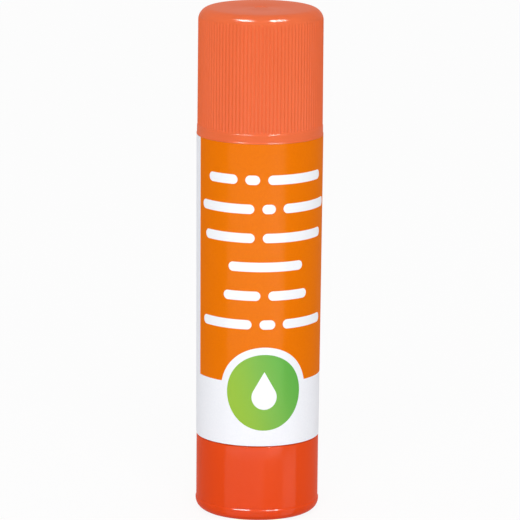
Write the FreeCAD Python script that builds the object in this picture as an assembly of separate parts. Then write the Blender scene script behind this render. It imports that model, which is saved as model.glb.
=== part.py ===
import FreeCAD, Part
import math
import os

# A twist-up glue stick, standing on its knob. Millimetres, +Z up. The origin is the middle of the
# knob's underside, and -Y is the side that the printed label faces.

# Whole stick
total_height = 84.0

# Cap: one moulding, ribbed for grip
cap_height = 20.8
cap_mouth_radius = 10.4
cap_draft = 0.16
cap_wall = 0.95
cap_shoulder_rounding = 2.0
cap_shoulder_flat_count = 4
cap_band_height = 1.5
cap_band_proud = 0.05
cap_ceiling = 1.3
rib_count = 100
rib_depth = 0.18
gate_mark_radius = 1.1
gate_mark_depth = 0.15
seal_wall = 0.6
seal_dip = 0.6

# Barrel: tube with a thinner neck under the cap
neck_wall = 0.85
head_room = 2.5
barrel_floor = 1.2
plug_wall = 1.2
plug_length = 4.3
guide_rib_count = 4
guide_rib_width = 1.0
guide_rib_height = 0.55
guide_rib_below_rim = 1.7
grip_ring_width = 1.0
grip_ring_above_shoulder = 7.5

# Label: printed film round the barrel, its end lapped over its start
label_under_cap_edge = 0.02
barrel_draft = 0.23
label_thickness = 0.12
label_margin = 0.05
lap_edge_angle = 172.0
lap_ramp_angle = 35.0

# Knob: turning base
knob_height = 12.75
knob_under_label = 0.05
knob_wall = 1.17
knob_floor = 1.2
foot_band_proud = 0.11
foot_band_height = 1.95
foot_band_slope = 0.1
foot_edge_rounding = 1.75
foot_edge_flat_count = 4
foot_ring_width = 2.6
foot_recess = 0.6
hub_radius = 3.6
web_count = 6
web_thickness = 0.9
web_below_plug = 0.5

# Spindle: lead screw, turned by the knob
thread_lead = 4.0
thread_flat_count = 12
lift_turns = 10.0
core_radius = 1.7
thread_radius = 2.6
thread_root_width = 1.7
thread_crest_width = 0.9
collar_radius = 3.6
collar_thickness = 1.0
journal_radius = 2.4
tail_across_flats = 3.6
tail_flat_count = 6
tail_length = 8.0
spindle_past_nut = 0.5

# Carrier: cup that lifts the glue
skirt_wall = 0.9
cup_depth = 4.0
platform_thickness = 1.2
boss_radius = 3.9
nut_height = 6.0
carrier_web_count = 4
carrier_web_thickness = 0.8
carrier_web_height = 9.0

# Clearances between pieces
cap_clearance = 0.1
grip_clearance = 0.04
cap_seat_gap = 0.05
seal_clearance = 0.12
seal_glue_gap = 0.4
knob_gap = 0.12
hub_gap = 0.25
plug_clearance = 0.08
journal_clearance = 0.05
thrust_gap = 0.05
tail_clearance = 0.02
socket_end_gap = 0.3
slide_clearance = 0.1
thread_clearance = 0.15
screw_hole_clearance = 0.25
carrier_floor_gap = 0.15
boss_collar_gap = 0.3

# Heights, worked out from the sizes above
cap_mouth = total_height - cap_height
ceiling = total_height - cap_ceiling
neck_rim = ceiling - head_room
barrel_shoulder = cap_mouth - cap_seat_gap
barrel_bottom = knob_height + knob_gap
floor_top = barrel_bottom + barrel_floor
plug_bottom = barrel_bottom - plug_length
hub_top = barrel_bottom - hub_gap
tail_end = hub_top - tail_length
knob_floor_top = foot_recess + knob_floor
collar_bottom = floor_top + thrust_gap
collar_top = collar_bottom + collar_thickness
lift = thread_lead * lift_turns
carrier_bottom = floor_top + carrier_floor_gap
cup_rim = neck_rim - lift
platform_top = cup_rim - cup_depth
platform_bottom = platform_top - platform_thickness
boss_bottom = collar_top + boss_collar_gap
nut_top = boss_bottom + nut_height
spindle_top = nut_top + lift + spindle_past_nut
glue_top = neck_rim - seal_dip - seal_glue_gap

# Radii, worked out from the sizes above
cap_top_radius = cap_mouth_radius - cap_draft
cap_bore_radius = cap_mouth_radius - cap_wall
neck_radius = cap_bore_radius - cap_clearance
grip_ring_radius = cap_bore_radius - grip_clearance
bore_radius = neck_radius - neck_wall
label_top_radius = cap_mouth_radius - label_under_cap_edge
label_bottom_radius = label_top_radius - barrel_draft
barrel_top_radius = label_top_radius - label_thickness
barrel_bottom_radius = label_bottom_radius - label_thickness
knob_radius = label_bottom_radius - knob_under_label
foot_radius = knob_radius + foot_band_proud
knob_bore_radius = knob_radius - knob_wall
plug_radius = knob_bore_radius - plug_clearance
plug_inner_radius = plug_radius - plug_wall
bearing_radius = journal_radius + journal_clearance
slide_radius = bore_radius - slide_clearance
cup_inner_radius = slide_radius - skirt_wall
screw_hole_radius = thread_radius + screw_hole_clearance
guide_face_radius = bore_radius - guide_rib_height
tail_corner_radius = tail_across_flats / 2 / math.cos(math.pi / tail_flat_count)

origin = FreeCAD.Vector(0, 0, 0)
upwards = FreeCAD.Vector(0, 0, 1)


def at(radius, angle, height):
    """A point by its distance from the axis, its angle in radians and its height."""
    return FreeCAD.Vector(radius * math.cos(angle), radius * math.sin(angle), height)


def closed(points):
    """A closed outline of straight lines."""
    return Part.makePolygon(list(points) + [points[0]])


def rounded(before, corner, after, radius, flats):
    """The points of an arc, drawn in flats, that rounds off the corner between two others."""
    to_before = (before - corner).normalize()
    to_after = (after - corner).normalize()
    half_angle = to_before.getAngle(to_after) / 2
    centre = corner + (to_before + to_after).normalize() * (radius / math.sin(half_angle))
    start = corner + to_before * (radius / math.tan(half_angle)) - centre
    end = corner + to_after * (radius / math.tan(half_angle)) - centre
    turn = start.getAngle(end)
    points = []
    for step in range(flats + 1):
        swept = turn * step / flats
        points.append(centre + (start * math.sin(turn - swept) + end * math.sin(swept)) / math.sin(turn))
    return points


def turned(corners):
    """A solid of revolution through (radius, height) corners, or (radius, height, rounding, flats)."""
    outline = []
    for index, corner in enumerate(corners):
        point = at(corner[0], 0, corner[1])
        if len(corner) == 2:
            outline.append(point)
            continue
        before = at(corners[index - 1][0], 0, corners[index - 1][1])
        following = corners[(index + 1) % len(corners)]
        after = at(following[0], 0, following[1])
        outline += rounded(before, point, after, corner[2], corner[3])
    return Part.Face(closed(outline)).revolve(origin, upwards, 360)


def column(radius, bottom, top):
    """A round solid on the axis."""
    return Part.makeCylinder(radius, top - bottom, at(0, 0, bottom))


def around(shape, count, first_angle=0.0):
    """Copies of a shape, evenly spaced about the axis."""
    copies = []
    for index in range(count):
        copy = shape.copy()
        copy.rotate(origin, upwards, first_angle + index * 360.0 / count)
        copies.append(copy)
    return copies


def bar(inner_radius, outer_radius, width, bottom, top):
    """A radial bar along +X."""
    corner = FreeCAD.Vector(inner_radius, -width / 2, bottom)
    return Part.makeBox(outer_radius - inner_radius, width, top - bottom, corner)


def between_guides(bottom, top):
    """Cutters for the slots in which the barrel's guide ribs run, with their clearance."""
    width = guide_rib_width + 2 * slide_clearance
    slot = bar(guide_face_radius - slide_clearance, bore_radius, width, bottom, top)
    return around(slot, guide_rib_count, 180.0 / guide_rib_count)


def flat_sided(side_count, corner_radius, bottom, top):
    """A prism on the axis, with one corner on +X."""
    corners = [at(corner_radius, 2 * math.pi * side / side_count, bottom) for side in range(side_count)]
    return Part.Face(closed(corners)).extrude(upwards * (top - bottom))


def screw_ridge(bottom, top, growth):
    """The lead screw's left-hand ridge, larger all round by growth where it cuts the nut's groove.

    It is drawn in flats, which are counted from the collar, so that screw and nut mesh.
    """
    inner_radius = core_radius + growth
    outer_radius = thread_radius + growth
    crest_half = thread_crest_width / 2 + growth
    root_half = thread_root_width / 2 + growth
    profile = [
        (inner_radius, -root_half),
        (outer_radius, -crest_half),
        (outer_radius, crest_half),
        (inner_radius, root_half),
    ]
    step_height = thread_lead / thread_flat_count
    first = math.floor((bottom - collar_top) / step_height)
    last = math.ceil((top - collar_top) / step_height)
    rings = []
    for step in range(first, last + 1):
        angle = -2 * math.pi * step / thread_flat_count
        height = collar_top + step * step_height
        rings.append([at(radius, angle, height + offset) for radius, offset in profile])
    faces = [Part.Face(closed(rings[0])), Part.Face(closed(rings[-1]))]
    for lower, upper in zip(rings, rings[1:]):
        crest = [lower[1], lower[2], upper[2], upper[1]]
        root = [lower[3], lower[0], upper[0], upper[3]]
        faces += [Part.Face(closed(crest)), Part.Face(closed(root))]
        for near, far in ((0, 1), (2, 3)):
            faces.append(Part.Face(closed([lower[near], lower[far], upper[far]])))
            faces.append(Part.Face(closed([lower[near], upper[far], upper[near]])))
    return Part.Solid(Part.Shell(faces))


def cap_radius(height):
    """The drafted outside of the cap, straight from its mouth to the start of its shoulder."""
    span = cap_height - cap_shoulder_rounding
    return cap_mouth_radius + (cap_top_radius - cap_mouth_radius) * (height - cap_mouth) / span


def ribbed_outline(height):
    """The cap's cross-section with its fine ribs."""
    crest = cap_radius(height) - cap_band_proud
    valley = crest * (1 - rib_depth / cap_mouth_radius)
    corners = []
    for index in range(rib_count):
        angle = 2 * math.pi * index / rib_count
        corners.append(at(crest, angle, height))
        corners.append(at(valley, angle + math.pi / rib_count, height))
    return closed(corners)


def make_cap():
    band_top = cap_mouth + cap_band_height
    ribs = Part.makeLoft([ribbed_outline(band_top), ribbed_outline(total_height)], True, True)
    shoulder = turned([
        (0, cap_mouth),
        (cap_radius(cap_mouth), cap_mouth),
        (cap_radius(total_height), total_height, cap_shoulder_rounding, cap_shoulder_flat_count),
        (0, total_height),
    ])
    band = turned([
        (0, cap_mouth),
        (cap_mouth_radius, cap_mouth),
        (cap_mouth_radius, band_top),
        (0, band_top),
    ])
    outside = ribs.common(shoulder).fuse(band)
    seal_outer = bore_radius - seal_clearance
    seal_inner = seal_outer - seal_wall
    seal_end = neck_rim - seal_dip
    hollow = turned([
        (0, cap_mouth),
        (cap_bore_radius, cap_mouth),
        (cap_bore_radius, ceiling),
        (seal_outer, ceiling),
        (seal_outer, seal_end),
        (seal_inner, seal_end),
        (seal_inner, ceiling),
        (0, ceiling),
    ])
    gate_mark = column(gate_mark_radius, total_height - gate_mark_depth, total_height)
    return outside.cut([hollow, gate_mark])


def make_barrel():
    ring_bottom = barrel_shoulder + grip_ring_above_shoulder
    tube = turned([
        (bearing_radius, barrel_bottom),
        (plug_inner_radius, barrel_bottom),
        (plug_inner_radius, plug_bottom),
        (plug_radius, plug_bottom),
        (plug_radius, barrel_bottom),
        (barrel_bottom_radius, barrel_bottom),
        (barrel_top_radius, barrel_shoulder),
        (neck_radius, barrel_shoulder),
        (neck_radius, ring_bottom),
        (grip_ring_radius, ring_bottom + grip_ring_width / 2),
        (neck_radius, ring_bottom + grip_ring_width),
        (neck_radius, neck_rim),
        (bore_radius, neck_rim),
        (bore_radius, floor_top),
        (bearing_radius, floor_top),
    ])
    rib_root = (bore_radius + neck_radius) / 2
    rib_bottom = floor_top - barrel_floor / 2
    rib = bar(guide_face_radius, rib_root, guide_rib_width, rib_bottom, neck_rim - guide_rib_below_rim)
    return tube.fuse(around(rib, guide_rib_count, 180.0 / guide_rib_count))


def arc(radius, centre_offset, first_angle, last_angle, height):
    """An arc whose centre is moved along +X from the axis."""
    move = FreeCAD.Vector(centre_offset, 0, 0)
    middle_angle = (first_angle + last_angle) / 2
    points = [at(radius, angle, height) + move for angle in (first_angle, middle_angle, last_angle)]
    return Part.Arc(*points).toShape()


def label_outlines(radius, height):
    """The film's outer and inner outlines. Its end rises over its start and stops in a step at +X."""
    shift = label_thickness / (1 - math.cos(math.radians(lap_ramp_angle)))
    lap_radius = radius + label_thickness - shift
    # where the arc of the lap, about its own centre, comes down to the film's circle
    ramp = math.acos((radius ** 2 - shift ** 2 - lap_radius ** 2) / (2 * shift * lap_radius))
    ramp_foot = at(lap_radius, ramp, 0) + FreeCAD.Vector(shift, 0, 0)
    foot_angle = math.atan2(ramp_foot.y, ramp_foot.x)
    whole_turn = 2 * math.pi
    lap = arc(lap_radius, shift, -ramp, 0, height)
    step = Part.makeLine(at(radius + label_thickness, 0, height), at(radius, 0, height))
    film = arc(radius, 0, 0, whole_turn - foot_angle, height)
    inner_radius = radius - label_thickness
    inner_lap = arc(inner_radius, 0, -foot_angle, 0, height)
    inner_film = arc(inner_radius, 0, 0, whole_turn - foot_angle, height)
    return Part.Wire([lap, step, film]), Part.Wire([inner_lap, inner_film])


def make_label():
    draft = (label_top_radius - label_bottom_radius) / (barrel_shoulder - barrel_bottom)
    bottom = barrel_bottom + label_margin
    top = barrel_shoulder - label_margin
    outer_bottom, inner_bottom = label_outlines(label_bottom_radius + draft * label_margin, bottom)
    outer_top, inner_top = label_outlines(label_top_radius - draft * label_margin, top)
    film = Part.makeLoft([outer_bottom, outer_top], True, True)
    inside = Part.makeLoft([inner_bottom, inner_top], True, True)
    label = film.cut(inside)
    label.rotate(origin, upwards, lap_edge_angle)
    return label


def make_knob():
    foot_inner_radius = foot_radius - foot_ring_width
    shell = turned([
        (0, foot_recess),
        (foot_inner_radius, foot_recess),
        (foot_inner_radius, 0),
        (foot_radius, 0, foot_edge_rounding, foot_edge_flat_count),
        (foot_radius, foot_band_height),
        (knob_radius, foot_band_height + foot_band_slope),
        (knob_radius, knob_height),
        (knob_bore_radius, knob_height),
        (knob_bore_radius, knob_floor_top),
        (hub_radius, knob_floor_top),
        (hub_radius, hub_top),
        (0, hub_top),
    ])
    socket_corner_radius = tail_corner_radius + tail_clearance
    socket = flat_sided(tail_flat_count, socket_corner_radius, tail_end - socket_end_gap, hub_top)
    web_start = (socket_corner_radius + hub_radius) / 2
    web_end = (knob_bore_radius + knob_radius) / 2
    web_bottom = knob_floor_top - knob_floor / 2
    web = bar(web_start, web_end, web_thickness, web_bottom, plug_bottom - web_below_plug)
    return shell.fuse(around(web, web_count)).cut(socket)


def make_spindle():
    journal = column(journal_radius, hub_top, collar_bottom)
    collar = column(collar_radius, collar_bottom, collar_top)
    core = flat_sided(thread_flat_count, core_radius, collar_top, spindle_top)
    tail = flat_sided(tail_flat_count, tail_corner_radius, tail_end, hub_top)
    ridge = screw_ridge(collar_top + thread_root_width, spindle_top - thread_root_width, 0)
    return journal.fuse([collar, core, tail, ridge])


def make_carrier():
    skirt = column(slide_radius, carrier_bottom, cup_rim)
    skirt = skirt.cut(column(cup_inner_radius, carrier_bottom, platform_bottom))
    skirt = skirt.cut(column(cup_inner_radius, platform_top, cup_rim))
    boss = column(boss_radius, boss_bottom, platform_top)
    web_start = (screw_hole_radius + boss_radius) / 2
    web_end = (cup_inner_radius + slide_radius) / 2
    web_bottom = platform_bottom - carrier_web_height
    web = bar(web_start, web_end, carrier_web_thickness, web_bottom, platform_top)
    body = skirt.fuse([boss] + around(web, carrier_web_count))
    nut_hole = flat_sided(thread_flat_count, core_radius + thread_clearance, boss_bottom, nut_top)
    clear_hole = column(screw_hole_radius, nut_top, platform_top)
    groove = screw_ridge(boss_bottom - thread_lead / 2, nut_top + thread_lead / 2, thread_clearance)
    return body.cut([nut_hole, clear_hole, groove] + between_guides(carrier_bottom, cup_rim))


def make_glue():
    cast = turned([
        (screw_hole_radius, platform_top),
        (cup_inner_radius, platform_top),
        (cup_inner_radius, cup_rim),
        (slide_radius, cup_rim),
        (slide_radius, glue_top),
        (0, glue_top),
        (0, spindle_top + screw_hole_clearance),
        (screw_hole_radius, spindle_top + screw_hole_clearance),
    ])
    return cast.cut(between_guides(cup_rim, glue_top))


pieces = {
    "cap": make_cap(),
    "barrel": make_barrel(),
    "label": make_label(),
    "knob": make_knob(),
    "spindle": make_spindle(),
    "carrier": make_carrier(),
    "glue": make_glue(),
}

os.makedirs("parts", exist_ok=True)
for name, shape in pieces.items():
    solid = shape.removeSplitter()
    print(name, "solids", len(solid.Solids), "valid", solid.isValid(), "volume", round(solid.Volume, 1))
    solid.exportStep("parts/" + name + ".step")
print("the glue rises", lift, "mm in", lift_turns, "turns of the knob")
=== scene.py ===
import math

import bmesh
import bpy
from mathutils import Matrix, Vector


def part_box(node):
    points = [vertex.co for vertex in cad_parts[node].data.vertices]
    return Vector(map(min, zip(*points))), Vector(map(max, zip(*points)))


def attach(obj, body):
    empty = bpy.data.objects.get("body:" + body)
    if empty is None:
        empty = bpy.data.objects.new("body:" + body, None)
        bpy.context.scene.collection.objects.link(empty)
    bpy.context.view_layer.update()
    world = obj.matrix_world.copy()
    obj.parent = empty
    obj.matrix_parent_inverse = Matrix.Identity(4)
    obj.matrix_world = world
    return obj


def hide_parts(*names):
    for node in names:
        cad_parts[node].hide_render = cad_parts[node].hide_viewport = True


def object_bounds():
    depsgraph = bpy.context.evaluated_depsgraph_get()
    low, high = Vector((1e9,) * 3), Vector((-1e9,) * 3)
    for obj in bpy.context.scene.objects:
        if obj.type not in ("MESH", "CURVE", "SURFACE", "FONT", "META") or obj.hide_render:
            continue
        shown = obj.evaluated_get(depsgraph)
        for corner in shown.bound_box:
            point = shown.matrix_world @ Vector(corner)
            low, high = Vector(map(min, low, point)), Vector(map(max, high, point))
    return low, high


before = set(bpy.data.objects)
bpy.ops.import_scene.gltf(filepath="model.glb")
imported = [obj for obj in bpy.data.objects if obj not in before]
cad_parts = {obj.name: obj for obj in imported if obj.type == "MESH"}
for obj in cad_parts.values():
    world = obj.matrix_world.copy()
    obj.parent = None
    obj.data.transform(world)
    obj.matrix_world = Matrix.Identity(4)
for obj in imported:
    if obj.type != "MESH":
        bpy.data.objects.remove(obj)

cad_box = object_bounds()
mm = 0.001

# ---------------------------------------------------------------------------------------------
# Barrel: one white polypropylene moulding. A drafted tube with a thinner neck for the cap, a ring
# that grips the cap, guide ribs in the bore, a floor for the spindle and a plug for the knob.
# ---------------------------------------------------------------------------------------------

barrel_draft = 0.23 * mm
barrel_floor = 1.2 * mm
gap_above_knob = 0.12 * mm
gap_below_cap = 0.05 * mm
plug_end, neck_rim = (corner.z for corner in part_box("barrel"))
barrel_shoulder_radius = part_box("barrel")[1].x
barrel_foot_radius = barrel_shoulder_radius - barrel_draft
barrel_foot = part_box("knob")[1].z + gap_above_knob
barrel_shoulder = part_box("cap")[0].z - gap_below_cap
barrel_floor_top = barrel_foot + barrel_floor
bore_radius = 8.5 * mm
neck_radius = 9.35 * mm
grip_ring_radius = 9.41 * mm
grip_ring_above_shoulder = 8.0 * mm
grip_ring_height = barrel_shoulder + grip_ring_above_shoulder
grip_ring_half_width = 0.5 * mm
plug_radius = 8.85 * mm
plug_inner_radius = 7.65 * mm
plug_lead_in = 0.5 * mm
bearing_radius = 2.45 * mm
guide_rib_count = 4
guide_rib_first_angle = math.radians(45)
guide_rib_width = 1.0 * mm
guide_rib_height = 0.55 * mm
guide_rib_below_rim = 1.7 * mm

# Roundings of a mould's edges, from the crispest to the softest
crisp_edge = 0.08 * mm
fine_edge = 0.1 * mm
plain_edge = 0.15 * mm
inner_edge = 0.2 * mm
soft_edge = 0.3 * mm
floor_root = 0.4 * mm

sharp_angle = math.radians(30)
merge_distance = 0.0005 * mm
shortest_edge = 0.0001 * mm


def rounded_outline(corners, arc_steps):
    """Points (radius, height) through corners. A third value rounds a corner, and a fourth is its steps."""
    points = []
    for index, corner in enumerate(corners):
        here = Vector(corner[:2])
        if len(corner) == 2:
            points.append(here)
            continue
        to_before = (Vector(corners[index - 1][:2]) - here).normalized()
        to_after = (Vector(corners[(index + 1) % len(corners)][:2]) - here).normalized()
        half_angle = to_before.angle(to_after) / 2
        centre = here + (to_before + to_after).normalized() * corner[2] / math.sin(half_angle)
        start = here + to_before * corner[2] / math.tan(half_angle) - centre
        end = here + to_after * corner[2] / math.tan(half_angle) - centre
        turn = start.angle(end)
        steps = corner[3] if len(corner) > 3 else arc_steps
        for step in range(steps + 1):
            swept = turn * step / steps
            arm = (start * math.sin(turn - swept) + end * math.sin(swept)) / math.sin(turn)
            points.append(centre + arm)
    return points


def keep_mesh(name, mesh):
    """Makes an object of a bmesh, smooth but for its sharp edges."""
    bmesh.ops.remove_doubles(mesh, verts=mesh.verts, dist=merge_distance)
    bmesh.ops.recalc_face_normals(mesh, faces=mesh.faces)
    data = bpy.data.meshes.new(name)
    mesh.to_mesh(data)
    mesh.free()
    data.shade_smooth()
    data.set_sharp_from_angle(angle=sharp_angle)
    piece = bpy.data.objects.new(name, data)
    bpy.context.scene.collection.objects.link(piece)
    return piece


def turned(name, corners, steps_around=128, arc_steps=6):
    """A closed shell of revolution about the stick's axis, through rounded corners."""
    outline = rounded_outline(corners, arc_steps)
    mesh = bmesh.new()
    columns = []
    for step in range(steps_around):
        angle = 2 * math.pi * step / steps_around
        columns.append([mesh.verts.new((r * math.cos(angle), r * math.sin(angle), z)) for r, z in outline])
    for step, column in enumerate(columns):
        following = columns[(step + 1) % steps_around]
        for index in range(len(outline)):
            other = (index + 1) % len(outline)
            if outline[index].x > 0 or outline[other].x > 0:
                mesh.faces.new((column[index], following[index], following[other], column[other]))
    bmesh.ops.dissolve_degenerate(mesh, dist=shortest_edge, edges=mesh.edges)
    return keep_mesh(name, mesh)


def add_node(tree, kind, inputs=None, **settings):
    """Adds a node. An input, by name or number, takes a value, an output, or a node's first output."""
    node = tree.nodes.new(kind)
    for setting, value in settings.items():
        setattr(node, setting, value)
    for socket, value in (inputs or {}).items():
        if isinstance(value, bpy.types.Node):
            value = value.outputs[0]
        if isinstance(value, bpy.types.NodeSocket):
            tree.links.new(value, node.inputs[socket])
        else:
            node.inputs[socket].default_value = value
    return node


def linear(colour):
    """An sRGB hex colour as linear red, green, blue and alpha."""
    channels = [int(colour[place:place + 2], 16) / 255 for place in (1, 3, 5)]
    return [c / 12.92 if c <= 0.04045 else ((c + 0.055) / 1.055) ** 2.4 for c in channels] + [1.0]


def new_material(name):
    """A material with an empty tree, and the tree."""
    material = bpy.data.materials.new(name)
    material.use_nodes = True
    material.node_tree.nodes.clear()
    return material, material.node_tree


def between_shades(tree, place, grain, colour, deeper, spread, detail):
    """A noise of a given grain that goes between two shades of a colour. Spread is the span of its values."""
    noise = add_node(tree, "ShaderNodeTexNoise", {"Vector": place, "Scale": 1 / grain, "Detail": detail})
    share = add_node(tree, "ShaderNodeMapRange", {
        "Value": noise, "From Min": 0.5 - spread / 2, "From Max": 0.5 + spread / 2})
    shade = add_node(tree, "ShaderNodeMix", {
        0: share, 6: linear(deeper), 7: linear(colour)}, data_type="RGBA")
    return shade.outputs[2]


polypropylene_ior = 1.49
body_roughness = 0.5


def moulded_plastic(name, colour, deeper, roughness, gloss, ripple_depth=0.002 * mm):
    """Injection-moulded polypropylene. The eye gets an even colour with faint flow marks, a thin glossy
    skin with a fine tool grain, and the slight ripple that sinking leaves in its reflections."""
    flow_mark_width = 7 * mm
    drawn_out_upwards = (1, 1, 0.35)
    ripple_width = 3 * mm
    grain_width = 0.09 * mm
    grain_depth = 0.0006 * mm
    material, tree = new_material(name)
    place = add_node(tree, "ShaderNodeTexCoord").outputs["Object"]
    drawn_out = add_node(tree, "ShaderNodeMapping", {"Vector": place, "Scale": drawn_out_upwards})
    shade = between_shades(tree, drawn_out, flow_mark_width, colour, deeper, spread=0.3, detail=3.0)
    ripple = add_node(tree, "ShaderNodeTexNoise", {"Vector": place, "Scale": 1 / ripple_width, "Detail": 1.0})
    grain = add_node(tree, "ShaderNodeTexNoise", {"Vector": place, "Scale": 1 / grain_width, "Detail": 2.0})
    rippled = add_node(tree, "ShaderNodeBump", {"Height": ripple, "Distance": ripple_depth, "Strength": 1.0})
    surface = add_node(tree, "ShaderNodeBump", {
        "Height": grain, "Distance": grain_depth, "Strength": 1.0, "Normal": rippled})
    shader = add_node(tree, "ShaderNodeBsdfPrincipled", {
        "Base Color": shade, "Roughness": body_roughness, "Normal": surface, "IOR": polypropylene_ior,
        "Specular IOR Level": 0.0, "Coat Weight": gloss, "Coat Roughness": roughness,
        "Coat IOR": polypropylene_ior, "Coat Normal": surface})
    add_node(tree, "ShaderNodeOutputMaterial", {"Surface": shader})
    return material


def new_tree(name, inputs):
    """An empty Geometry Nodes tree with a named input for each size, and the outputs of its input node."""
    tree = bpy.data.node_groups.new(name, "GeometryNodeTree")
    tree.interface.new_socket("Geometry", in_out="INPUT", socket_type="NodeSocketGeometry")
    for size, kind in inputs.items():
        tree.interface.new_socket(size, in_out="INPUT", socket_type="NodeSocket" + kind)
    tree.interface.new_socket("Geometry", in_out="OUTPUT", socket_type="NodeSocketGeometry")
    given = tree.nodes.new("NodeGroupInput").outputs
    return tree, given


def end_tree(tree, geometry, given):
    """Closes a tree: its instances are made real and its material is set."""
    real = add_node(tree, "GeometryNodeRealizeInstances", {"Geometry": geometry})
    finished = add_node(tree, "GeometryNodeSetMaterial", {"Geometry": real, "Material": given["Material"]})
    add_node(tree, "NodeGroupOutput", {"Geometry": finished})


def run_tree(piece, tree, values):
    """Runs a tree on a piece with these inputs, and keeps the result as the piece's own plain mesh."""
    modifier = piece.modifiers.new(tree.name, "NODES")
    modifier.node_group = tree
    for socket in tree.interface.items_tree:
        if socket.in_out == "INPUT" and socket.name in values:
            modifier[socket.identifier] = values[socket.name]
    graph = bpy.context.evaluated_depsgraph_get()
    made = bpy.data.meshes.new_from_object(piece.evaluated_get(graph))
    piece.modifiers.clear()
    piece.data = made


bars_tree, given = new_tree("bars round the axis", {
    "Count": "Int", "First Angle": "Float", "Width": "Float", "Inner Radius": "Float",
    "Outer Radius": "Float", "Bottom": "Float", "Top": "Float", "Material": "Material"})
across = add_node(bars_tree, "ShaderNodeMath", {0: given["Outer Radius"], 1: given["Inner Radius"]},
                  operation="SUBTRACT")
height = add_node(bars_tree, "ShaderNodeMath", {0: given["Top"], 1: given["Bottom"]}, operation="SUBTRACT")
size = add_node(bars_tree, "ShaderNodeCombineXYZ", {"X": across, "Y": given["Width"], "Z": height})
inner_end = add_node(bars_tree, "ShaderNodeCombineXYZ", {"X": given["Inner Radius"], "Z": given["Bottom"]})
reach = add_node(bars_tree, "ShaderNodeCombineXYZ", {"X": across, "Z": height})
middle = add_node(bars_tree, "ShaderNodeVectorMath", {0: reach, 1: (0.5, 0.5, 0.5), 2: inner_end},
                  operation="MULTIPLY_ADD")
block = add_node(bars_tree, "GeometryNodeMeshCube", {"Size": size})
placed = add_node(bars_tree, "GeometryNodeTransform", {"Geometry": block, "Translation": middle})
spacing = add_node(bars_tree, "ShaderNodeMath", {0: math.tau, 1: given["Count"]}, operation="DIVIDE")
index = add_node(bars_tree, "GeometryNodeInputIndex")
turn = add_node(bars_tree, "ShaderNodeMath", {0: index, 1: spacing, 2: given["First Angle"]},
                operation="MULTIPLY_ADD")
turned_to = add_node(bars_tree, "ShaderNodeCombineXYZ", {"Z": turn})
centres = add_node(bars_tree, "GeometryNodePoints", {"Count": given["Count"]})
bars = add_node(bars_tree, "GeometryNodeInstanceOnPoints", {
    "Points": centres, "Instance": placed, "Rotation": turned_to})
both = add_node(bars_tree, "GeometryNodeJoinGeometry", {"Geometry": bars})
bars_tree.links.new(given["Geometry"], both.inputs["Geometry"])
end_tree(bars_tree, both, given)

barrel = turned("barrel_moulding", [
    (bearing_radius, barrel_foot, fine_edge),
    (plug_inner_radius, barrel_foot, soft_edge),
    (plug_inner_radius, plug_end, inner_edge),
    (plug_radius, plug_end, plug_lead_in),
    (plug_radius, barrel_foot, fine_edge),
    (barrel_foot_radius, barrel_foot, crisp_edge),
    (barrel_shoulder_radius, barrel_shoulder, crisp_edge),
    (neck_radius, barrel_shoulder, plain_edge),
    (neck_radius, grip_ring_height - grip_ring_half_width, soft_edge),
    (grip_ring_radius, grip_ring_height, soft_edge),
    (neck_radius, grip_ring_height + grip_ring_half_width, soft_edge),
    (neck_radius, neck_rim, soft_edge),
    (bore_radius, neck_rim, inner_edge),
    (bore_radius, barrel_floor_top, floor_root),
    (bearing_radius, barrel_floor_top, fine_edge),
])
white_plastic = moulded_plastic("white polypropylene", "#F2F2F4", "#ECECF0", roughness=0.25, gloss=0.4)
run_tree(barrel, bars_tree, {
    "Count": guide_rib_count, "First Angle": guide_rib_first_angle, "Width": guide_rib_width,
    "Inner Radius": bore_radius - guide_rib_height, "Outer Radius": (bore_radius + neck_radius) / 2,
    "Bottom": barrel_floor_top - barrel_floor / 2, "Top": neck_rim - guide_rib_below_rim,
    "Material": white_plastic})
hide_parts("barrel")
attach(barrel, "barrel")

# ---------------------------------------------------------------------------------------------
# Knob: the turning base, an orange-red polypropylene cup with a proud band round its foot. It turns
# on the barrel's plug, and webs tie its wall to the hub that drives the spindle.
# ---------------------------------------------------------------------------------------------

foot_band_proud = 0.11 * mm
foot_band_top = 1.95 * mm
foot_band_slope = 0.12 * mm
foot_rounding = 1.75 * mm
foot_ring_width = 2.6 * mm
foot_recess = 0.6 * mm
plug_clearance = 0.08 * mm
knob_floor = 1.2 * mm
knob_web_count = 6
knob_web_width = 0.9 * mm
knob_web_below_plug = 0.5 * mm
knob_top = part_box("knob")[1].z
knob_foot_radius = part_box("knob")[1].x
knob_radius = knob_foot_radius - foot_band_proud
knob_bore_radius = plug_radius + plug_clearance
foot_inner_radius = knob_foot_radius - foot_ring_width
knob_floor_top = foot_recess + knob_floor
hub_below_barrel = 0.25 * mm
hub_radius = 3.6 * mm
hub_top = barrel_foot - hub_below_barrel
socket_radius = 2.1 * mm
socket_depth = 8.3 * mm
socket_end = hub_top - socket_depth
foot_band_edge = 0.06 * mm
knob_rim_edge = 0.18 * mm

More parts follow.
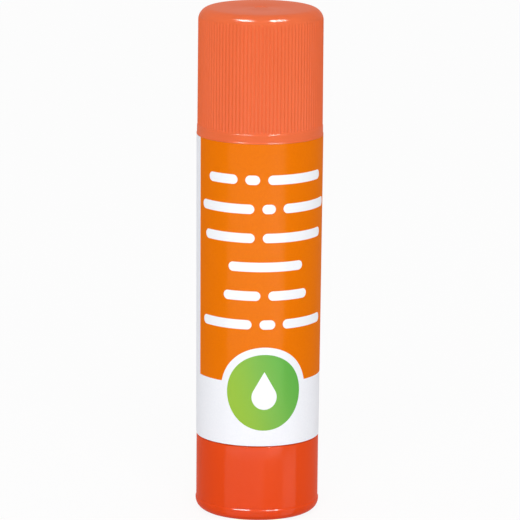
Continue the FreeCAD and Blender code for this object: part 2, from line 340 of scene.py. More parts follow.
knob = turned("knob_moulding", [
    (0, foot_recess),
    (foot_inner_radius, foot_recess, inner_edge),
    (foot_inner_radius, 0, inner_edge),
    (knob_foot_radius, 0, foot_rounding),
    (knob_foot_radius, foot_band_top, foot_band_edge),
    (knob_radius, foot_band_top + foot_band_slope, foot_band_edge),
    (knob_radius, knob_top, knob_rim_edge),
    (knob_bore_radius, knob_top, plain_edge),
    (knob_bore_radius, knob_floor_top, floor_root),
    (hub_radius, knob_floor_top, floor_root),
    (hub_radius, hub_top, plain_edge),
    (socket_radius, hub_top, fine_edge),
    (socket_radius, socket_end),
    (0, socket_end),
], steps_around=192, arc_steps=8)
red_plastic = moulded_plastic("orange-red polypropylene", "#E3470A", "#DF4408", roughness=0.12, gloss=0.2)
run_tree(knob, bars_tree, {
    "Count": knob_web_count, "First Angle": 0.0, "Width": knob_web_width,
    "Inner Radius": (socket_radius + hub_radius) / 2, "Outer Radius": (knob_bore_radius + knob_radius) / 2,
    "Bottom": knob_floor_top - knob_floor / 2, "Top": plug_end - knob_web_below_plug,
    "Material": red_plastic})
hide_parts("knob")
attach(knob, "knob")

# ---------------------------------------------------------------------------------------------
# Spindle and carrier: natural white mouldings hidden in the barrel, with the frame's own meshes. The
# spindle's left-hand thread turns in the carrier's nut, and its six-sided tail sits in the knob's hub.
# ---------------------------------------------------------------------------------------------

natural_plastic = moulded_plastic("natural polypropylene", "#ECECEE", "#E4E4E8", roughness=0.35, gloss=0.4)
for node in ("spindle", "carrier"):
    hidden_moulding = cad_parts[node]
    hidden_moulding.data.materials.clear()
    hidden_moulding.data.materials.append(natural_plastic)

# ---------------------------------------------------------------------------------------------
# Glue: an off-white wax-like column, cast in the carrier's cup. Its sides carry the grooves of the
# guide ribs and its top has the slight dish and soft edge of a cast face.
# ---------------------------------------------------------------------------------------------

glue_foot, glue_top = (corner.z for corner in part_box("glue"))
glue_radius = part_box("glue")[1].x
cup_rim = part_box("carrier")[1].z
cup_inner_radius = 7.5 * mm
screw_hole_radius = 2.85 * mm
screw_hole_gap = 0.25 * mm
screw_hole_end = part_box("spindle")[1].z + screw_hole_gap
glue_edge_rounding = 0.45 * mm
glue_dish = 0.25 * mm
glue_side_rows = 24
glue_top_shares = (0.9, 0.8, 0.6, 0.4, 0.2)
groove_half_width = 0.6 * mm
groove_edge_slope = 0.15 * mm
groove_from_radius = 8.0 * mm
groove_above_cup = 0.01 * mm
glue_lump_width = 2.5 * mm
glue_unevenness = 0.04 * mm


def round_the_axis(tree, where):
    """A point's angle about the stick's axis, its distance from it, its height, and its place from above."""
    axes = add_node(tree, "ShaderNodeSeparateXYZ", {"Vector": where})
    x, y, z = (axes.outputs[axis] for axis in "XYZ")
    angle = add_node(tree, "ShaderNodeMath", {0: y, 1: x}, operation="ARCTAN2")
    from_above = add_node(tree, "ShaderNodeCombineXYZ", {"X": x, "Y": y})
    radius = add_node(tree, "ShaderNodeVectorMath", {0: from_above}, operation="LENGTH").outputs["Value"]
    return angle, radius, z, from_above


def draw_inwards(tree, given, from_above, inward):
    """Moves each point towards the stick's axis by the value inward, and closes the tree."""
    outward = add_node(tree, "ShaderNodeVectorMath", {0: from_above}, operation="NORMALIZE")
    pull = add_node(tree, "ShaderNodeMath", {0: inward, 1: -1.0}, operation="MULTIPLY")
    offset = add_node(tree, "ShaderNodeVectorMath", {0: outward, "Scale": pull}, operation="SCALE")
    moved = add_node(tree, "GeometryNodeSetPosition", {"Geometry": given["Geometry"], "Offset": offset})
    end_tree(tree, moved, given)


grooves_tree, given = new_tree("grooves down the side", {
    "Count": "Int", "First Angle": "Float", "Half Width": "Float", "Depth": "Float",
    "Inside Radius": "Float", "Bottom": "Float", "Unevenness": "Float", "Material": "Material"})
where = add_node(grooves_tree, "GeometryNodeInputPosition")
angle, radius, height, from_above = round_the_axis(grooves_tree, where)
from_first = add_node(grooves_tree, "ShaderNodeMath", {0: angle, 1: given["First Angle"]},
                      operation="SUBTRACT")
spacing = add_node(grooves_tree, "ShaderNodeMath", {0: math.tau, 1: given["Count"]}, operation="DIVIDE")
half_spacing = add_node(grooves_tree, "ShaderNodeMath", {0: spacing, 1: 0.5}, operation="MULTIPLY")
low_end = add_node(grooves_tree, "ShaderNodeMath", {0: half_spacing, 1: -1.0}, operation="MULTIPLY")
off_groove = add_node(grooves_tree, "ShaderNodeMath", {0: from_first, 1: low_end, 2: half_spacing},
                      operation="WRAP")
sine = add_node(grooves_tree, "ShaderNodeMath", {0: off_groove}, operation="SINE")
aside = add_node(grooves_tree, "ShaderNodeMath", {0: radius, 1: sine}, operation="MULTIPLY")
distance = add_node(grooves_tree, "ShaderNodeMath", {0: aside}, operation="ABSOLUTE")
edge = add_node(grooves_tree, "ShaderNodeMath", {0: given["Half Width"], 1: groove_edge_slope},
                operation="ADD")
in_groove = add_node(grooves_tree, "ShaderNodeMapRange", {
    "Value": distance, "From Min": edge, "From Max": given["Half Width"]}, interpolation_type="SMOOTHSTEP")
on_side = add_node(grooves_tree, "ShaderNodeMath", {0: radius, 1: given["Inside Radius"]},
                   operation="GREATER_THAN")
above = add_node(grooves_tree, "ShaderNodeMath", {0: height, 1: given["Bottom"]}, operation="GREATER_THAN")
wall = add_node(grooves_tree, "ShaderNodeMath", {0: on_side, 1: above}, operation="MULTIPLY")
share = add_node(grooves_tree, "ShaderNodeMath", {0: in_groove, 1: wall}, operation="MULTIPLY")
sunk = add_node(grooves_tree, "ShaderNodeMath", {0: share, 1: given["Depth"]}, operation="MULTIPLY")
lumps = add_node(grooves_tree, "ShaderNodeTexNoise", {
    "Vector": where, "Scale": 1 / glue_lump_width, "Detail": 2.0})
lump_depth = add_node(grooves_tree, "ShaderNodeMath", {0: lumps, 1: given["Unevenness"]},
                      operation="MULTIPLY")
lump_share = add_node(grooves_tree, "ShaderNodeMath", {0: lump_depth, 1: above}, operation="MULTIPLY")
inward = add_node(grooves_tree, "ShaderNodeMath", {0: sunk, 1: lump_share}, operation="ADD")
draw_inwards(grooves_tree, given, from_above, inward)

row_height = (glue_top - cup_rim) / glue_side_rows
side_rows = [(glue_radius, cup_rim + row_height * row) for row in range(glue_side_rows)]
top_rows = [(glue_radius * share, glue_top - glue_dish * (1 - share ** 2)) for share in glue_top_shares]
glue = turned("glue_column", [
    (screw_hole_radius, glue_foot),
    (cup_inner_radius, glue_foot),
    (cup_inner_radius, cup_rim),
    *side_rows,
    (glue_radius, glue_top, glue_edge_rounding),
    *top_rows,
    (0, glue_top - glue_dish),
    (0, screw_hole_end),
    (screw_hole_radius, screw_hole_end),
], steps_around=360)


def cast_wax(name, colour, deeper):
    """Cast glue, which looks like soft wax: cloudy off-white with fine pores and a dull shine, and light
    sinks a little way into it."""
    cloud_width = 3.5 * mm
    pore_width = 0.25 * mm
    pore_depth = 0.006 * mm
    sinking_depth = 1.2 * mm
    material, tree = new_material(name)
    place = add_node(tree, "ShaderNodeTexCoord").outputs["Object"]
    shade = between_shades(tree, place, cloud_width, colour, deeper, spread=0.3, detail=4.0)
    pores = add_node(tree, "ShaderNodeTexNoise", {"Vector": place, "Scale": 1 / pore_width, "Detail": 3.0})
    surface = add_node(tree, "ShaderNodeBump", {"Height": pores, "Distance": pore_depth, "Strength": 1.0})
    shader = add_node(tree, "ShaderNodeBsdfPrincipled", {
        "Base Color": shade, "Roughness": 0.42, "IOR": 1.44, "Normal": surface,
        "Subsurface Weight": 0.25, "Subsurface Radius": (1.0, 0.9, 0.7), "Subsurface Scale": sinking_depth})
    add_node(tree, "ShaderNodeOutputMaterial", {"Surface": shader})
    return material


glue_wax = cast_wax("cast glue", "#F8F5EE", "#EFEAE0")
run_tree(glue, grooves_tree, {
    "Count": guide_rib_count, "First Angle": guide_rib_first_angle, "Half Width": groove_half_width,
    "Depth": guide_rib_height, "Inside Radius": groove_from_radius, "Bottom": cup_rim + groove_above_cup,
    "Unevenness": glue_unevenness, "Material": glue_wax})
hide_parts("glue")
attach(glue, "carrier")

# ---------------------------------------------------------------------------------------------
# Label: a white film wrapped once round the barrel, its end lapped over its start at the left. It is
# printed and varnished: an orange panel, rows of plain white marks, and a drop in a green disc.
# ---------------------------------------------------------------------------------------------

film_thickness = 0.12 * mm
film_nearer_cap = 0.06 * mm
label_bottom, label_top = (corner.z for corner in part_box("label"))
label_top += film_nearer_cap
label_top_radius = barrel_shoulder_radius + film_thickness
label_bottom_radius = barrel_foot_radius + film_thickness
lap_edge = math.radians(172)
lap_ramp = math.radians(35)
film_steps = 360


def label_radius(z):
    """The film's outer radius at a height, on the drafted barrel."""
    share = (z - barrel_foot) / (barrel_shoulder - barrel_foot)
    return label_bottom_radius + (label_top_radius - label_bottom_radius) * share


def lapped_radius(radius, before_edge):
    """The film's radius a given angle before the lap's edge, where its end rises over its start."""
    shift = film_thickness / (1 - math.cos(lap_ramp))
    lap_radius = radius + film_thickness - shift
    if before_edge > math.pi / 2:
        return radius
    along = math.sqrt(lap_radius ** 2 - (shift * math.sin(before_edge)) ** 2)
    return max(radius, shift * math.cos(before_edge) + along)


mesh = bmesh.new()
rings = []
for z in (label_bottom, label_top):
    radius = label_radius(z)
    turns = [math.tau * step / film_steps for step in range(film_steps + 1)]
    outer = [(lapped_radius(radius, turn), lap_edge - turn) for turn in turns]
    inner = [(radius - film_thickness, angle) for _, angle in reversed(outer[:-1])]
    rings.append([mesh.verts.new((r * math.cos(a), r * math.sin(a), z)) for r, a in outer + inner])
lower, upper = rings
for index in range(len(lower)):
    other = (index + 1) % len(lower)
    mesh.faces.new((lower[index], lower[other], upper[other], upper[index]))
for ring in rings:
    outer, inner = ring[:film_steps + 1], ring[:film_steps:-1]
    for step in range(film_steps - 1):
        mesh.faces.new((outer[step], outer[step + 1], inner[step + 1], inner[step]))
    mesh.faces.new((outer[-2], outer[-1], inner[-1]))
film = keep_mesh("label_film", mesh)


def varnished_film(name, colour, deeper):
    """Printed polypropylene film under a clear varnish: flat ink, a satin gloss, a faint ripple from
    the barrel beneath and the fine dots of its print."""
    dot_width = 0.3 * mm
    ripple_width = 4 * mm
    ripple_depth = 0.006 * mm
    varnish_ior = 1.5
    material, tree = new_material(name)
    place = add_node(tree, "ShaderNodeTexCoord").outputs["Object"]
    shade = between_shades(tree, place, dot_width, colour, deeper, spread=0.4, detail=3.0)
    ripple = add_node(tree, "ShaderNodeTexNoise", {"Vector": place, "Scale": 1 / ripple_width, "Detail": 2.0})
    surface = add_node(tree, "ShaderNodeBump", {"Height": ripple, "Distance": ripple_depth, "Strength": 1.0})
    shader = add_node(tree, "ShaderNodeBsdfPrincipled", {
        "Base Color": shade, "Roughness": body_roughness, "IOR": varnish_ior, "Specular IOR Level": 0.0,
        "Normal": surface, "Coat Weight": 0.07, "Coat Roughness": 0.16, "Coat IOR": varnish_ior,
        "Coat Normal": surface})
    add_node(tree, "ShaderNodeOutputMaterial", {"Surface": shader})
    return material


white_film = varnished_film("white label film", "#F4F6FB", "#F0F2F8")
film.data.materials.append(white_film)
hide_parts("label")
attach(film, "barrel")

# The print is drawn flat: along the film, out from it, and up. The tree then wraps it round.
wrap_tree, given = new_tree("wrap print round the label", {
    "Middle Radius": "Float", "Bottom": "Float", "Bottom Radius": "Float", "Top": "Float",
    "Top Radius": "Float", "Material": "Material"})
flat = add_node(wrap_tree, "ShaderNodeSeparateXYZ", {
    "Vector": add_node(wrap_tree, "GeometryNodeInputPosition")})
along, out, up = (flat.outputs[axis] for axis in "XYZ")
bend = add_node(wrap_tree, "ShaderNodeMath", {0: along, 1: given["Middle Radius"]}, operation="DIVIDE")
film_radius = add_node(wrap_tree, "ShaderNodeMapRange", {
    "Value": up, "From Min": given["Bottom"], "From Max": given["Top"],
    "To Min": given["Bottom Radius"], "To Max": given["Top Radius"]}, clamp=False)
out_to = add_node(wrap_tree, "ShaderNodeMath", {0: film_radius, 1: out}, operation="ADD")
sine = add_node(wrap_tree, "ShaderNodeMath", {0: bend}, operation="SINE")
cosine = add_node(wrap_tree, "ShaderNodeMath", {0: bend}, operation="COSINE")
right = add_node(wrap_tree, "ShaderNodeMath", {0: sine, 1: out_to}, operation="MULTIPLY")
ahead = add_node(wrap_tree, "ShaderNodeMath", {0: cosine, 1: out_to}, operation="MULTIPLY")
back = add_node(wrap_tree, "ShaderNodeMath", {0: ahead, 1: -1.0}, operation="MULTIPLY")
wrapped_to = add_node(wrap_tree, "ShaderNodeCombineXYZ", {"X": right, "Y": back, "Z": up})
wrapped = add_node(wrap_tree, "GeometryNodeSetPosition", {
    "Geometry": given["Geometry"], "Position": wrapped_to})
end_tree(wrap_tree, wrapped, given)

ink_thickness = 0.012 * mm
middle_radius = (label_bottom_radius + label_top_radius) / 2


def printed(name, shapes, material, layer=0):
    """Ink on the film. Each shape is its places along the film, and its lower and upper edge there."""
    underside = layer * ink_thickness
    face = underside + ink_thickness
    mesh = bmesh.new()
    for places, lower, upper in shapes:
        rings = []
        for place in places:
            low, high = lower(place), upper(place)
            section = ((low, underside), (high, underside), (high, face), (low, face))
            rings.append([mesh.verts.new((place, level, z)) for z, level in section])
        mesh.faces.new(rings[0])
        mesh.faces.new(rings[-1])
        for ring, following in zip(rings, rings[1:]):
            for side in range(4):
                other = (side + 1) % 4
                mesh.faces.new((ring[side], ring[other], following[other], following[side]))
    piece = keep_mesh(name, mesh)
    run_tree(piece, wrap_tree, {
        "Middle Radius": middle_radius, "Bottom": barrel_foot, "Bottom Radius": label_bottom_radius,
        "Top": barrel_shoulder, "Top Radius": label_top_radius, "Material": material})
    piece.data.set_sharp_from_angle(angle=sharp_angle)
    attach(piece, "barrel")
    return piece


def evenly(start, end, step):
    """Places from start to end, about a step apart."""
    count = math.ceil((end - start) / step)
    return [start + (end - start) * index / count for index in range(count + 1)]


def closer_at_ends(middle, half_width, count):
    """Places across a round shape, closer together towards its ends."""
    return [middle - half_width * math.cos(math.pi * index / count) for index in range(count + 1)]


def round_edge(radius, place, middle):
    """How far a circle's edge lies above or below its middle at a place along the film."""
    return math.sqrt(max(0, radius ** 2 - (place - middle) ** 2))


badge_place = 1.08 * mm
badge_height = 21.92 * mm
badge_radius = 6.37 * mm
ring_radius = 7.6 * mm
panel_bottom = 23.55 * mm
panel_past_edge = 0.03 * mm
panel_top = label_top + panel_past_edge
panel_left = -math.radians(68.3) * middle_radius
panel_right = math.radians(254) * middle_radius
panel_step = 0.25 * mm


def panel_lower(place):
    """The panel's lower edge, notched by the ring round the badge."""
    return max(panel_bottom, badge_height + round_edge(ring_radius, place, badge_place))


orange_ink = varnished_film("orange ink on film", "#EB7700", "#E77300")
panel_places = evenly(panel_left, badge_place - ring_radius, panel_step)
panel_places += closer_at_ends(badge_place, ring_radius, count=72)[1:]
panel_places += evenly(badge_place + ring_radius, panel_right, panel_step)[1:]
printed("print_panel", [(panel_places, panel_lower, lambda place: panel_top)], orange_ink)

# The badge's ink goes from yellow-green at its left to a deeper green at its right, a little aslant.
# Its ramp takes the place of the fine mix of two shades that the other inks have.
green_ink = varnished_film("green ink on film", "#98BF3E", "#62B14C")
badge_tree = green_ink.node_tree
fade_slant = 0.3
fade_half_width = 7.0 * mm
badge_axes = add_node(badge_tree, "ShaderNodeSeparateXYZ", {
    "Vector": add_node(badge_tree, "ShaderNodeTexCoord").outputs["Object"]})
rise = add_node(badge_tree, "ShaderNodeMath", {
    0: badge_axes.outputs["Z"], 1: fade_slant, 2: -badge_height * fade_slant - badge_place},
    operation="MULTIPLY_ADD")
across_badge = add_node(badge_tree, "ShaderNodeMath", {0: badge_axes.outputs["X"], 1: rise}, operation="ADD")
fade = add_node(badge_tree, "ShaderNodeMapRange", {
    "Value": across_badge, "From Min": -fade_half_width, "From Max": fade_half_width},
    interpolation_type="SMOOTHSTEP")
ramp = add_node(badge_tree, "ShaderNodeValToRGB", {"Fac": fade})
ramp.color_ramp.elements[0].color = linear("#98BF3E")
ramp.color_ramp.elements[1].color = linear("#62B14C")
halfway = ramp.color_ramp.elements.new(0.5)
halfway.color = linear("#80B84E")
badge_tree.links.new(ramp.outputs["Color"], badge_tree.nodes["Principled BSDF"].inputs["Base Color"])


def badge_lower(place):
    """The badge's lower edge."""
    return badge_height - round_edge(badge_radius, place, badge_place)


def badge_upper(place):
    """The badge's upper edge."""
    return badge_height + round_edge(badge_radius, place, badge_place)


badge_places = closer_at_ends(badge_place, badge_radius, count=96)
printed("print_badge", [(badge_places, badge_lower, badge_upper)], green_ink)

drop_radius = 2.1 * mm
drop_below_middle = 0.75 * mm
tip_above_middle = 3.5 * mm
drop_height = badge_height - drop_below_middle
drop_tip = badge_height + tip_above_middle


def drop_upper(place):
    """A drop's upper edge: its round belly, then the straight run up to the tip."""
    tip_rise = drop_tip - drop_height
    tangent_height = drop_radius ** 2 / tip_rise
    tangent_place = math.sqrt(drop_radius ** 2 - tangent_height ** 2)
    aside = abs(place - badge_place)
    if aside > tangent_place:
        return drop_height + round_edge(drop_radius, place, badge_place)
    return drop_tip - (tip_rise - tangent_height) * aside / tangent_place


def drop_lower(place):
    """A drop's lower edge."""
    return drop_height - round_edge(drop_radius, place, badge_place)


white_ink = varnished_film("white ink on film", "#F6F8FC", "#F3F5FA")
drop_places = closer_at_ends(badge_place, drop_radius, count=48)
printed("print_drop", [(drop_places, drop_lower, drop_upper)], white_ink, layer=1)

# Each row of marks: where it starts along the film, and the widths of its marks, in millimetres
mark_rows = (
    (-9.2, (5.6, 2.4, 10.9)),
    (-11.0, (10.2, 2.2, 10.3)),
    (-10.1, (9.4, 12.1)),
    (-5.1, (12.8,)),
    (-6.0, (6.3, 7.1)),
    (-10.7, (9.6, 2.6, 9.0)),
)
row_top = 57.3 * mm
row_pitch = 4.8 * mm
mark_half_height = 0.78 * mm
mark_gap = 1.3 * mm
mark_step = 0.3 * mm
mark_end_steps = 8


def mark(start, width, height):
    """One plain mark: a bar with round ends."""
    end = start + width
    middle = start + width / 2

    def rise(place):
        past = abs(place - middle) - (width / 2 - mark_half_height)
        return mark_half_height if past <= 0 else math.sqrt(max(0, mark_half_height ** 2 - past ** 2))

    quarter = [math.pi / 2 * index / mark_end_steps for index in range(mark_end_steps)]
    round_end = [mark_half_height * (1 - math.cos(angle)) for angle in quarter]
    places = [start + along for along in round_end]
    places += evenly(start + mark_half_height, end - mark_half_height, mark_step)
    places += [end - along for along in reversed(round_end)]
    return places, (lambda place: height - rise(place)), (lambda place: height + rise(place))


marks = []
for row, (left, widths) in enumerate(mark_rows):
    start = left * mm
    for width in widths:
        marks.append(mark(start, width * mm, row_top - row * row_pitch))
        start += width * mm + mark_gap
printed("print_marks", marks, white_ink, layer=1)

# ---------------------------------------------------------------------------------------------
# Cap: one orange-red moulding that grips the neck. Fine ribs run up its wall from a smooth band at
# the mouth to the rounded shoulder; the flat top has the dimple of the mould's gate.
# ---------------------------------------------------------------------------------------------

cap_draft = 0.16 * mm
lip_height = 0.12 * mm
band_height = 1.5 * mm
band_step = 0.06 * mm
band_step_rise = 0.072 * mm
shoulder_rounding = 2.0 * mm
shoulder_steps = 14
cap_clearance = 0.1 * mm
cap_ceiling_thickness = 1.3 * mm
mouth_lead_in = 0.2 * mm
mouth_lead_in_height = 0.5 * mm
seal_clearance = 0.12 * mm
seal_wall = 0.6 * mm
seal_dip = 0.6 * mm
gate_radius = 1.0 * mm
gate_depth = 0.06 * mm
gate_edge = 0.05 * mm
step_edge = 0.02 * mm
mouth_edge = 0.04 * mm
rib_count = 100
rib_depth = 0.19 * mm
rib_steps = 8
rib_above_band = 0.1 * mm
rib_top = 82.75 * mm
rib_run_in = 0.3 * mm
rib_run_out = 0.5 * mm
ribbed_skin = 0.3 * mm
cap_mouth, cap_top = (corner.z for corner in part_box("cap"))
cap_mouth_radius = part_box("cap")[1].y
cap_top_radius = cap_mouth_radius - cap_draft
lip_top = cap_mouth + lip_height
band_top = cap_mouth + band_height
cap_bore_radius = neck_radius + cap_clearance
cap_ceiling = cap_top - cap_ceiling_thickness
seal_outer_radius = bore_radius - seal_clearance
seal_inner_radius = seal_outer_radius - seal_wall
seal_end = neck_rim - seal_dip

ribs_tree, given = new_tree("ribs up the wall", {
    "Count": "Int", "Depth": "Float", "Inside Radius": "Float", "Bottom": "Float", "Top": "Float",
    "Bottom Run-out": "Float", "Top Run-out": "Float", "Material": "Material"})
where = add_node(ribs_tree, "GeometryNodeInputPosition")
angle, radius, height, from_above = round_the_axis(ribs_tree, where)
half_count = add_node(ribs_tree, "ShaderNodeMath", {0: given["Count"], 1: 0.5}, operation="MULTIPLY")
phase = add_node(ribs_tree, "ShaderNodeMath", {0: angle, 1: half_count}, operation="MULTIPLY")
wave = add_node(ribs_tree, "ShaderNodeMath", {0: phase}, operation="COSINE")
crest = add_node(ribs_tree, "ShaderNodeMath", {0: wave}, operation="ABSOLUTE")
hollow = add_node(ribs_tree, "ShaderNodeMath", {0: 1.0, 1: crest}, operation="SUBTRACT")
bottom_end = add_node(ribs_tree, "ShaderNodeMath", {0: given["Bottom"], 1: given["Bottom Run-out"]},
                      operation="ADD")
above = add_node(ribs_tree, "ShaderNodeMapRange", {
    "Value": height, "From Min": given["Bottom"], "From Max": bottom_end}, interpolation_type="SMOOTHSTEP")
top_end = add_node(ribs_tree, "ShaderNodeMath", {0: given["Top"], 1: given["Top Run-out"]},
                   operation="SUBTRACT")
below = add_node(ribs_tree, "ShaderNodeMapRange", {
    "Value": height, "From Min": given["Top"], "From Max": top_end}, interpolation_type="SMOOTHSTEP")
outside = add_node(ribs_tree, "ShaderNodeMath", {0: radius, 1: given["Inside Radius"]},
                   operation="GREATER_THAN")
span = add_node(ribs_tree, "ShaderNodeMath", {0: above, 1: below}, operation="MULTIPLY")
on_wall = add_node(ribs_tree, "ShaderNodeMath", {0: span, 1: outside}, operation="MULTIPLY")
depth = add_node(ribs_tree, "ShaderNodeMath", {0: hollow, 1: given["Depth"]}, operation="MULTIPLY")
inward = add_node(ribs_tree, "ShaderNodeMath", {0: depth, 1: on_wall}, operation="MULTIPLY")
draw_inwards(ribs_tree, given, from_above, inward)


def cap_radius(z):
    """The cap's drafted outer radius at a height."""
    share = (z - cap_mouth) / (cap_top - shoulder_rounding - cap_mouth)
    return cap_mouth_radius + (cap_top_radius - cap_mouth_radius) * share


# Rows just above the band, so that the ribs can run in there
run_in_rows = [rise * mm for rise in (0.12, 0.2, 0.28, 0.36, 0.44)]
wall_foot_radius = cap_radius(band_top) - 2 * band_step
cap = turned("cap_moulding", [
    (0, cap_top - gate_depth),
    (gate_radius, cap_top - gate_depth, gate_edge),
    (gate_radius, cap_top, gate_edge),
    (cap_radius(cap_top), cap_top, shoulder_rounding, shoulder_steps),
    *[(wall_foot_radius, band_top + rise) for rise in reversed(run_in_rows)],
    (wall_foot_radius, band_top, step_edge),
    (cap_radius(band_top) - band_step, band_top - band_step_rise, step_edge),
    (cap_mouth_radius - band_step, lip_top + band_step_rise, step_edge),
    (cap_mouth_radius, lip_top, step_edge),
    (cap_mouth_radius, cap_mouth, mouth_edge),
    (cap_bore_radius + mouth_lead_in, cap_mouth, fine_edge),
    (cap_bore_radius, cap_mouth + mouth_lead_in_height, soft_edge),
    (cap_bore_radius, cap_ceiling, soft_edge),
    (seal_outer_radius, cap_ceiling, inner_edge),
    (seal_outer_radius, seal_end, inner_edge),
    (seal_inner_radius, seal_end, inner_edge),
    (seal_inner_radius, cap_ceiling, soft_edge),
    (0, cap_ceiling),
], steps_around=rib_count * rib_steps, arc_steps=3)
# The cap's plastic is a paler orange than the knob's. That is its own orange-red paled by painted sheen,
# which stands in for the light its fine ribs catch.
cap_plastic_with_painted_sheen = moulded_plastic("orange-red polypropylene of the cap, paled by painted sheen", "#E96D40", "#E5693C",
                              roughness=0.12, gloss=0.17, ripple_depth=0.0005 * mm)
run_tree(cap, ribs_tree, {
    "Count": rib_count, "Depth": rib_depth, "Inside Radius": cap_bore_radius + ribbed_skin,
    "Bottom": band_top + rib_above_band, "Top": rib_top, "Bottom Run-out": rib_run_in,
    "Top Run-out": rib_run_out, "Material": cap_plastic_with_painted_sheen})
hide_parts("cap")
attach(cap, "cap")

# ---------------------------------------------------------------------------------------------
# The studio: a plain pale floor, soft boxes in front and behind, two round lamps overhead, cards on
# the floor that only the gloss mirrors, and the camera where the photograph was taken from.
# ---------------------------------------------------------------------------------------------

white = (1, 1, 1, 1)
floor_half_width = 2.5
floor_below_stick = 0.02 * mm
floor_glow_share = 0.9
room_strength = 0.62


def seen_as_background(tree):
    """1 where the camera sees it, straight, mirrored or through something clear, and 0 where it lights."""
    seen = add_node(tree, "ShaderNodeLightPath")
    straight_or_mirrored = add_node(tree, "ShaderNodeMath", {
        0: seen.outputs["Is Camera Ray"], 1: seen.outputs["Is Glossy Ray"]}, operation="MAXIMUM")
    return add_node(tree, "ShaderNodeMath", {
        0: straight_or_mirrored, 1: seen.outputs["Is Transmission Ray"]}, operation="MAXIMUM")


floor_mesh = bmesh.new()
bmesh.ops.create_grid(floor_mesh, x_segments=8, y_segments=8, size=floor_half_width)
floor = keep_mesh("floor", floor_mesh)
floor.location.z = -floor_below_stick

# Pale paper: matt and even. Most of what is seen of it glows, so that it stays as white as the page
# behind the photographed stick, and the rest shows the stick's shadow.
floor_material, floor_tree = new_material("pale paper")
paper = add_node(floor_tree, "ShaderNodeBsdfDiffuse", {"Color": linear("#F4F4F4")})
glow = add_node(floor_tree, "ShaderNodeEmission", {"Color": white, "Strength": 1.0})
glow_share = add_node(floor_tree, "ShaderNodeMath", {0: seen_as_background(floor_tree), 1: floor_glow_share},
                      operation="MULTIPLY")
floor_mix = add_node(floor_tree, "ShaderNodeMixShader", {0: glow_share, 1: paper, 2: glow})
add_node(floor_tree, "ShaderNodeOutputMaterial", {"Surface": floor_mix})
floor.data.materials.append(floor_material)

world = bpy.data.worlds.new("studio")
bpy.context.scene.world = world
world.use_nodes = True
world_tree = world.node_tree
world_tree.nodes.clear()
room_light = add_node(world_tree, "ShaderNodeBackground", {"Color": white, "Strength": room_strength})
white_room = add_node(world_tree, "ShaderNodeBackground", {"Color": white, "Strength": 1.0})
room = add_node(world_tree, "ShaderNodeMixShader", {
    0: seen_as_background(world_tree), 1: room_light, 2: white_room})
add_node(world_tree, "ShaderNodeOutputWorld", {"Surface": room})


def soft_box(name, azimuth, elevation, distance, width, height, power, shape="RECTANGLE"):
    """An area lamp that faces the middle of the stick. Azimuth 0 is the camera's side; 90 is the right."""
    lamp = bpy.data.lights.new(name, "AREA")
    lamp.shape = shape
    lamp.size, lamp.size_y = width, height
    lamp.energy = power
    box = bpy.data.objects.new(name, lamp)
    bpy.context.scene.collection.objects.link(box)
    turn, rise = math.radians(azimuth), math.radians(elevation)
    away = Vector((math.sin(turn) * math.cos(rise), -math.cos(turn) * math.cos(rise), math.sin(rise)))
    box.location = Vector((0, 0, (cad_box[0].z + cad_box[1].z) / 2)) + away * distance
    box.rotation_mode = "QUATERNION"
    box.rotation_quaternion = away.to_track_quat("Z", "Y")
    return box


front_box = soft_box("front box", azimuth=0, elevation=35, distance=1.5, width=1.2, height=0.9, power=11.4)
front_box.visible_glossy = False
back_box = soft_box("back box", azimuth=180, elevation=4, distance=1.5, width=1.2, height=0.24, power=6.5)
back_box.visible_glossy = False
for name, azimuth in (("overhead left", -51), ("overhead right", 51)):
    overhead = soft_box(name, azimuth, elevation=64, distance=0.7, width=0.3, height=0.22, power=19.0,
                        shape="ELLIPSE")
    overhead.visible_diffuse = False


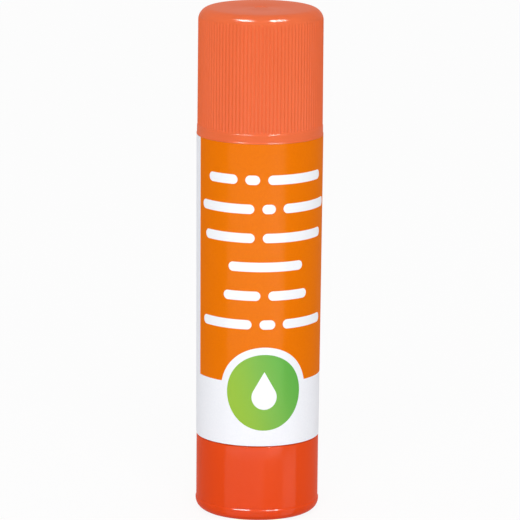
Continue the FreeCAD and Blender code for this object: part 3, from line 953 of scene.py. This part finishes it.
def floor_card(name, first, last, near, far, strength):
    """A bright card on the floor, seen only as the stick's wall mirrors it between two of its angles."""
    card_steps = 24
    card_below_stick = floor_below_stick / 2
    clear_of_foot = 1.01
    mesh = bmesh.new()
    columns = []
    for step in range(card_steps + 1):
        angle = math.radians(first + (last - first) * step / card_steps)
        foot = Vector((math.sin(angle), -math.cos(angle), 0)) * knob_foot_radius * clear_of_foot
        mirrored = Vector((math.sin(2 * angle), -math.cos(2 * angle), 0))
        ends = [foot + mirrored * reach - Vector((0, 0, card_below_stick)) for reach in (near, far)]
        columns.append([mesh.verts.new(end) for end in ends])
    for column, following in zip(columns, columns[1:]):
        mesh.faces.new((column[0], column[1], following[1], following[0]))
    card = keep_mesh(name, mesh)
    material, tree = new_material(name)
    shine = add_node(tree, "ShaderNodeEmission", {"Color": white, "Strength": strength})
    add_node(tree, "ShaderNodeOutputMaterial", {"Surface": shine})
    card.data.materials.append(material)
    card.visible_camera = False
    card.visible_diffuse = False
    card.visible_shadow = False
    card.visible_transmission = False


# How far out the floor lies that the knob, the label and the cap mirror
knob_reach = 70 * mm
label_reach = 292 * mm
cap_reach = 700 * mm
floor_card("near card left", first=-32, last=6, near=0, far=knob_reach, strength=3.0)
floor_card("near card middle", first=6, last=25, near=0, far=knob_reach, strength=2.0)
floor_card("near card right", first=25, last=39, near=0, far=knob_reach, strength=3.8)
floor_card("middle card left", first=-30, last=9, near=knob_reach, far=label_reach, strength=6.6)
floor_card("middle card right", first=9, last=24, near=knob_reach, far=label_reach, strength=8.6)
floor_card("far card left", first=-30, last=9, near=label_reach, far=cap_reach, strength=2.6)
floor_card("far card right", first=9, last=24, near=label_reach, far=cap_reach, strength=3.8)

# The camera, fitted to the stick's outline and edges in the photograph
camera_distance = 700 * mm
camera_height = 190.09 * mm
camera_pitch = math.radians(11.948)
camera_yaw = math.radians(0.0155)
camera_roll = math.radians(0.505)
camera_data = bpy.data.cameras.new("camera")
camera_data.sensor_width = 36
camera_data.lens = 300.75
camera_data.clip_start = 0.01
camera_data.clip_end = 20
camera = bpy.data.objects.new("camera", camera_data)
bpy.context.scene.collection.objects.link(camera)
aim = Matrix.Rotation(-camera_yaw, 4, "Z") @ Matrix.Rotation(math.pi / 2 - camera_pitch, 4, "X")
aim = aim @ Matrix.Rotation(camera_roll, 4, "Z")
camera.matrix_world = Matrix.Translation((0, -camera_distance, camera_height)) @ aim
bpy.context.scene.camera = camera
bpy.context.scene.view_settings.view_transform = "Standard"
